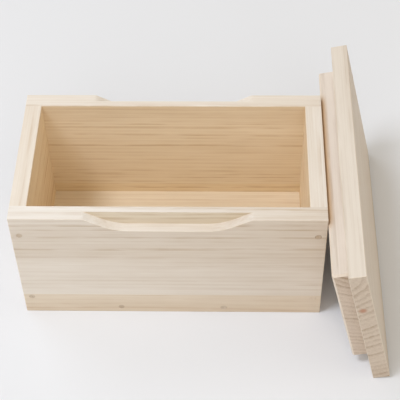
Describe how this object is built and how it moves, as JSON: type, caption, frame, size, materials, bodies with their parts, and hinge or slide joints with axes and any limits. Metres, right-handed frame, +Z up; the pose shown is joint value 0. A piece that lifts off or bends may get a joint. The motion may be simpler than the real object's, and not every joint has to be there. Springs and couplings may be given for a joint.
{
  "type": "rice storage box",
  "caption": "Plain pale wooden box for dry rice, pegged from glued boards, with a curved finger scoop in each long wall and a plug lid that stands on edge against its side.",
  "frame": {"origin": "middle of the box's underside, without the lid", "axes": "+Z up; +X along the box's length, towards the side where the lid leans; +Y from the front wall to the back wall"},
  "size_m": [0.4135, 0.34, 0.1872],
  "materials": {
    "paulownia_pale": "bare, planed smooth, matt",
    "paulownia_warm": "bare, planed smooth, matt",
    "peg_end_grain": "bare end grain, matt"
  },
  "bodies": {
    "box": {"front_upper_stave": "paulownia_pale", "front_lower_stave": "paulownia_warm", "back_upper_stave": "paulownia_pale", "back_lower_stave": "paulownia_warm", "left_upper_stave": "paulownia_pale", "left_lower_stave": "paulownia_warm", "right_upper_stave": "paulownia_pale", "right_lower_stave": "paulownia_warm", "bottom_board": "paulownia_warm", "front_peg_upper_left": "peg_end_grain", "front_peg_lower_left": "peg_end_grain", "front_peg_bottom_left": "peg_end_grain", "front_peg_upper_right": "peg_end_grain", "front_peg_lower_right": "peg_end_grain", "front_peg_bottom_right": "peg_end_grain", "back_peg_upper_left": "peg_end_grain", "back_peg_lower_left": "peg_end_grain", "back_peg_bottom_left": "peg_end_grain", "back_peg_upper_right": "peg_end_grain", "back_peg_lower_right": "peg_end_grain", "back_peg_bottom_right": "peg_end_grain", "left_peg_bottom_front": "peg_end_grain", "left_peg_bottom_back": "peg_end_grain", "right_peg_bottom_front": "peg_end_grain", "right_peg_bottom_back": "peg_end_grain"},
    "lid": {"lid_board": "paulownia_pale", "lid_plug": "paulownia_warm"}
  },
  "joints": [
    {"name": "lid_lift", "type": "slide", "parent": "box", "child": "lid", "axis": [0, 0, 1], "range_m": [0, 0.2]}
  ]
}
